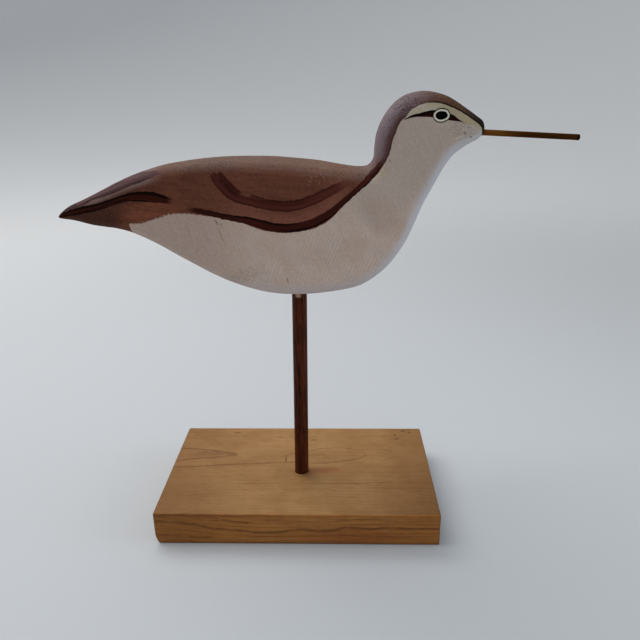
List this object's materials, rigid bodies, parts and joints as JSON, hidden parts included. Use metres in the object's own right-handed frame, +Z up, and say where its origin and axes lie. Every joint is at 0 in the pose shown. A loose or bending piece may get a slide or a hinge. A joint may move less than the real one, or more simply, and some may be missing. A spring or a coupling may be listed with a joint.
{
  "type": "shorebird decoy",
  "caption": "Carved and painted wooden shorebird with a thin dowel bill, standing on a dowel leg in a rectangular wooden board.",
  "frame": {"origin": "middle of the board's underside, ignoring the board's worn edge", "axes": "+Z up, +X along the board the way the bird looks, +Y to the bird's left"},
  "size_m": [0.2565, 0.0888, 0.2274],
  "materials": {
    "bird_paint": "hand-painted in matt grey and browns",
    "bill_wood": "stained, satin",
    "leg_wood": "dark stained, satin",
    "board_wood": "sanded, aged and oiled"
  },
  "bodies": {
    "root": {"bird_body": "bird_paint", "bill": "bill_wood", "leg": "leg_wood", "base_board": "board_wood"}
  },
  "joints": []
}
